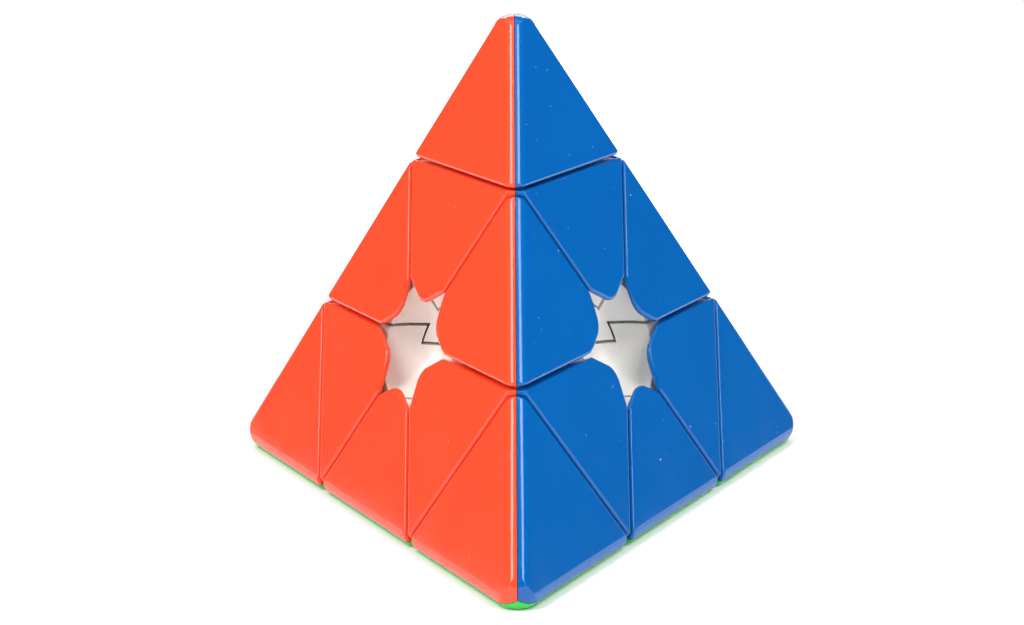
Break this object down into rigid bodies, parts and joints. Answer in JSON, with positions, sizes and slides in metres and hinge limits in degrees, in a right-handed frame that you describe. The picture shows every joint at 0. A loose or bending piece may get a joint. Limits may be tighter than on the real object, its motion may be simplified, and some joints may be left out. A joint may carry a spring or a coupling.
{
  "type": "pyramid twisty puzzle",
  "caption": "Pyramid twisty puzzle: coloured caps on white bodies; vertex layers and tips turn on sprung screws about a round core.",
  "frame": {"origin": "centre of the core, where the turning axes meet; it is also the centroid of the pyramid", "axes": "+Z along the top vertex's turning axis; the front vertex and the front edge are towards -Y; +X to the right of a person who looks along +Y"},
  "size_m": [0.097, 0.0848, 0.0799],
  "materials": {
    "red_plastic": "glossy moulded red-orange plastic",
    "blue_plastic": "glossy moulded blue plastic",
    "green_plastic": "glossy moulded bright green plastic",
    "yellow_plastic": "glossy moulded yellow plastic",
    "white_plastic": "glossy moulded white plastic",
    "steel": "plain bright steel"
  },
  "bodies": {
    "core_and_axes": {"core": "white_plastic", "axis_screws": "steel", "axis_springs": "steel", "axis_washers": "steel"},
    "top_centre": {"top_centre_body": "white_plastic", "top_centre_yellow_cap": "yellow_plastic", "top_centre_blue_cap": "blue_plastic", "top_centre_red_cap": "red_plastic"},
    "top_tip": {"top_tip_body": "white_plastic", "top_tip_yellow_cap": "yellow_plastic", "top_tip_blue_cap": "blue_plastic", "top_tip_red_cap": "red_plastic"},
    "front_centre": {"front_centre_body": "white_plastic", "front_centre_green_cap": "green_plastic", "front_centre_blue_cap": "blue_plastic", "front_centre_red_cap": "red_plastic"},
    "front_tip": {"front_tip_body": "white_plastic", "front_tip_green_cap": "green_plastic", "front_tip_blue_cap": "blue_plastic", "front_tip_red_cap": "red_plastic"},
    "left_centre": {"left_centre_body": "white_plastic", "left_centre_green_cap": "green_plastic", "left_centre_yellow_cap": "yellow_plastic", "left_centre_red_cap": "red_plastic"},
    "left_tip": {"left_tip_body": "white_plastic", "left_tip_green_cap": "green_plastic", "left_tip_yellow_cap": "yellow_plastic", "left_tip_red_cap": "red_plastic"},
    "right_centre": {"right_centre_body": "white_plastic", "right_centre_green_cap": "green_plastic", "right_centre_yellow_cap": "yellow_plastic", "right_centre_blue_cap": "blue_plastic"},
    "right_tip": {"right_tip_body": "white_plastic", "right_tip_green_cap": "green_plastic", "right_tip_yellow_cap": "yellow_plastic", "right_tip_blue_cap": "blue_plastic"},
    "top_front_edge": {"top_front_edge_body": "white_plastic", "top_front_edge_blue_cap": "blue_plastic", "top_front_edge_red_cap": "red_plastic"},
    "top_left_edge": {"top_left_edge_body": "white_plastic", "top_left_edge_yellow_cap": "yellow_plastic", "top_left_edge_red_cap": "red_plastic"},
    "top_right_edge": {"top_right_edge_body": "white_plastic", "top_right_edge_yellow_cap": "yellow_plastic", "top_right_edge_blue_cap": "blue_plastic"},
    "front_left_edge": {"front_left_edge_body": "white_plastic", "front_left_edge_green_cap": "green_plastic", "front_left_edge_red_cap": "red_plastic"},
    "front_right_edge": {"front_right_edge_body": "white_plastic", "front_right_edge_green_cap": "green_plastic", "front_right_edge_blue_cap": "blue_plastic"},
    "left_right_edge": {"left_right_edge_body": "white_plastic", "left_right_edge_green_cap": "green_plastic", "left_right_edge_yellow_cap": "yellow_plastic"}
  },
  "joints": [
    {"name": "top_layer_turn", "type": "hinge", "parent": "core_and_axes", "child": "top_centre", "pos_m": [0, 0, 0], "axis": [0, 0, 1], "continuous": true},
    {"name": "front_layer_turn", "type": "hinge", "parent": "core_and_axes", "child": "front_centre", "pos_m": [0, 0, 0], "axis": [0, -0.9428, -0.3333], "range_deg": [-360, 360]},
    {"name": "left_layer_turn", "type": "hinge", "parent": "core_and_axes", "child": "left_centre", "pos_m": [0, 0, 0], "axis": [-0.8165, 0.4714, -0.3333], "range_deg": [-360, 360]},
    {"name": "right_layer_turn", "type": "hinge", "parent": "core_and_axes", "child": "right_centre", "pos_m": [0, 0, 0], "axis": [0.8165, 0.4714, -0.3333], "range_deg": [-360, 360]},
    {"name": "top_tip_turn", "type": "hinge", "parent": "top_centre", "child": "top_tip", "pos_m": [0, 0, 0], "axis": [0, 0, 1], "continuous": true},
    {"name": "front_tip_turn", "type": "hinge", "parent": "front_centre", "child": "front_tip", "pos_m": [0, 0, 0], "axis": [0, -0.9428, -0.3333], "continuous": true},
    {"name": "left_tip_turn", "type": "hinge", "parent": "left_centre", "child": "left_tip", "pos_m": [0, 0, 0], "axis": [-0.8165, 0.4714, -0.3333], "continuous": true},
    {"name": "right_tip_turn", "type": "hinge", "parent": "right_centre", "child": "right_tip", "pos_m": [0, 0, 0], "axis": [0.8165, 0.4714, -0.3333], "continuous": true},
    {"name": "top_front_edge_turn", "type": "hinge", "parent": "top_centre", "child": "top_front_edge", "pos_m": [0, 0, 0], "axis": [0, -0.9428, -0.3333], "range_deg": [-360, 360]},
    {"name": "top_left_edge_turn", "type": "hinge", "parent": "top_centre", "child": "top_left_edge", "pos_m": [0, 0, 0], "axis": [-0.8165, 0.4714, -0.3333], "range_deg": [-360, 360]},
    {"name": "top_right_edge_turn", "type": "hinge", "parent": "top_centre", "child": "top_right_edge", "pos_m": [0, 0, 0], "axis": [0.8165, 0.4714, -0.3333], "range_deg": [-360, 360]},
    {"name": "front_left_edge_turn", "type": "hinge", "parent": "front_centre", "child": "front_left_edge", "pos_m": [0, 0, 0], "axis": [-0.8165, 0.4714, -0.3333], "range_deg": [-360, 360]},
    {"name": "front_right_edge_turn", "type": "hinge", "parent": "right_centre", "child": "front_right_edge", "pos_m": [0, 0, 0], "axis": [0, -0.9428, -0.3333], "range_deg": [-360, 360]},
    {"name": "left_right_edge_turn", "type": "hinge", "parent": "left_centre", "child": "left_right_edge", "pos_m": [0, 0, 0], "axis": [0.8165, 0.4714, -0.3333], "range_deg": [-360, 360]}
  ],
  "couplings": [
    {"joint": "top_front_edge_turn", "follows": "front_layer_turn", "ratio": 1},
    {"joint": "top_left_edge_turn", "follows": "left_layer_turn", "ratio": 1},
    {"joint": "top_right_edge_turn", "follows": "right_layer_turn", "ratio": 1},
    {"joint": "front_left_edge_turn", "follows": "left_layer_turn", "ratio": 1},
    {"joint": "front_right_edge_turn", "follows": "front_layer_turn", "ratio": 1},
    {"joint": "left_right_edge_turn", "follows": "right_layer_turn", "ratio": 1}
  ]
}
